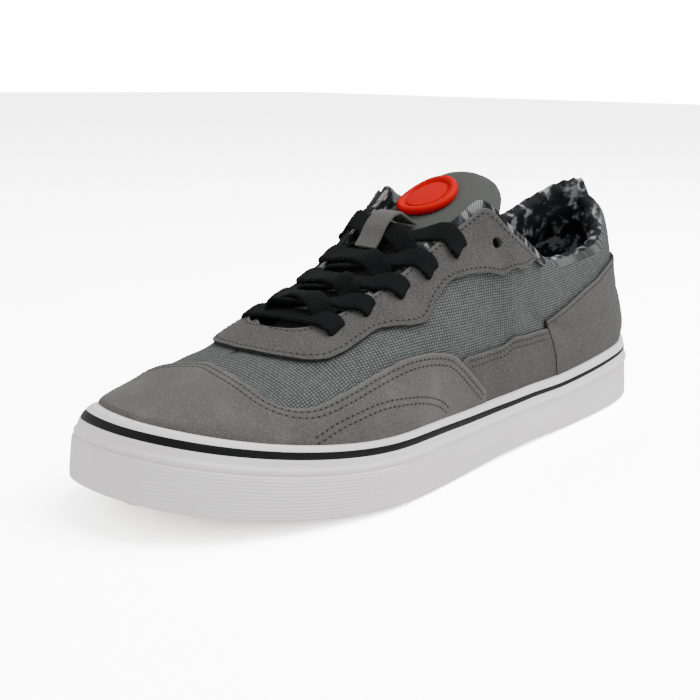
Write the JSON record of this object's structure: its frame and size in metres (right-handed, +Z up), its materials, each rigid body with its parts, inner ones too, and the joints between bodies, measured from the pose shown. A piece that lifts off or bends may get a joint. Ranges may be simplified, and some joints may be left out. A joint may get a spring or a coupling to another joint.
{
  "type": "skateboarding shoe",
  "caption": "Low-top lace-up skateboarding shoe for the left foot with a cupped rubber sole, padded collar and tongue, suede overlays and canvas sides.",
  "frame": {"origin": "on the floor, in the middle of the sole's length and width", "axes": "toe along -Y, heel along +Y, lateral side towards +X, +Z up from the floor"},
  "size_m": [0.1041, 0.2984, 0.1079],
  "materials": {
    "outsole_rubber": "matte",
    "midsole_foam": "matte",
    "insole_cloth": "matte",
    "white_rubber": "satin",
    "black_rubber": "satin",
    "canvas": "matte",
    "toe_suede": "matte",
    "suede": "matte",
    "tongue_cloth": "matte",
    "badge_rubber": "satin",
    "lace_cloth": "matte"
  },
  "bodies": {
    "root": {"outsole": "outsole_rubber", "midsole": "midsole_foam", "insole": "insole_cloth", "sidewall": "white_rubber", "stripe": "black_rubber", "toe_bumper": "white_rubber", "upper": "canvas", "toe_cap": "toe_suede", "heel_counter": "suede", "side_panel_lateral": "suede", "side_panel_medial": "suede", "eyestay": "suede", "tongue": "tongue_cloth", "tongue_badge": "badge_rubber", "tongue_loop": "suede", "lace_bar": "lace_cloth", "lace_cross_1": "lace_cloth", "lace_cross_2": "lace_cloth", "lace_cross_3": "lace_cloth", "lace_cross_4": "lace_cloth"}
  },
  "joints": []
}
